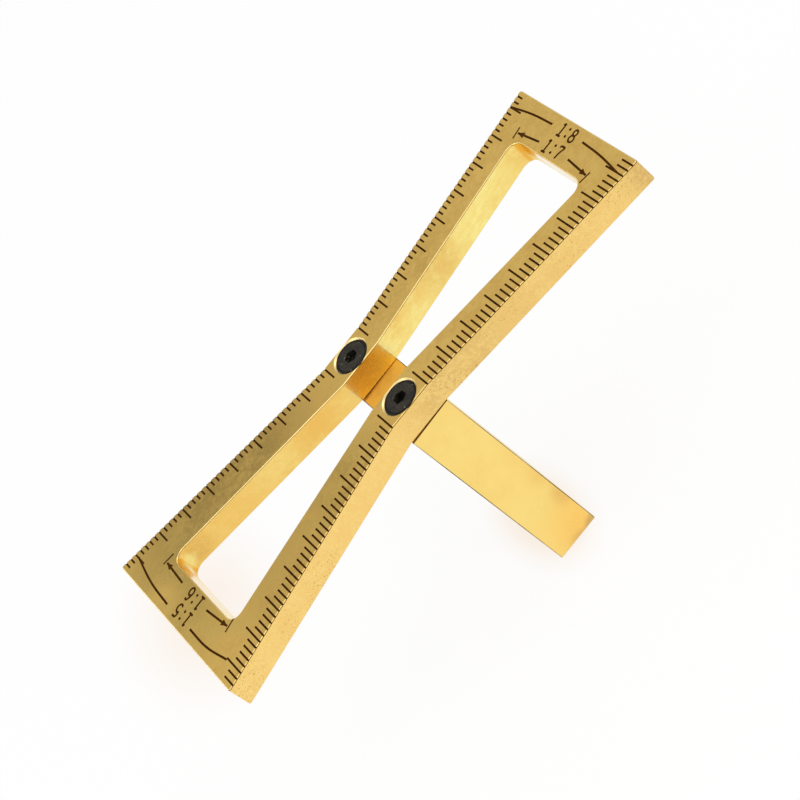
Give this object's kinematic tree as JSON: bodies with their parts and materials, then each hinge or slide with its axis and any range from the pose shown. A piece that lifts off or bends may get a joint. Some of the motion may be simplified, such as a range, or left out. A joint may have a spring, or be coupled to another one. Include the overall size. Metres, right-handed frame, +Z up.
{
  "type": "dovetail marker",
  "caption": "Flat bow-tie plate with a bow-tie window and engraved millimetre marks, screwed square onto a plain block that serves as its fence.",
  "frame": {"origin": "centre of the fence block's foot, which is the bottom centre of the whole tool", "axes": "+X along the plate toward its end with the shallow slopes, +Y across the plate, +Z up out of the engraved face"},
  "size_m": [0.094, 0.0384, 0.0419],
  "materials": {
    "brass": "milled, lightly dulled",
    "black_oxide": "black oxide"
  },
  "bodies": {
    "marker_body": {"fence_block": "brass", "bow_tie_frame": "brass"},
    "near_screw_body": {"near_screw": "black_oxide"},
    "far_screw_body": {"far_screw": "black_oxide"}
  },
  "joints": [
    {"name": "near_screw_turn", "type": "hinge", "parent": "marker_body", "child": "near_screw_body", "pos_m": [0, -0.0076, 0.0418], "axis": [0, 0, 1], "range_deg": [0, 90]},
    {"name": "far_screw_turn", "type": "hinge", "parent": "marker_body", "child": "far_screw_body", "pos_m": [0, 0.0076, 0.0418], "axis": [0, 0, 1], "range_deg": [0, 90]}
  ]
}
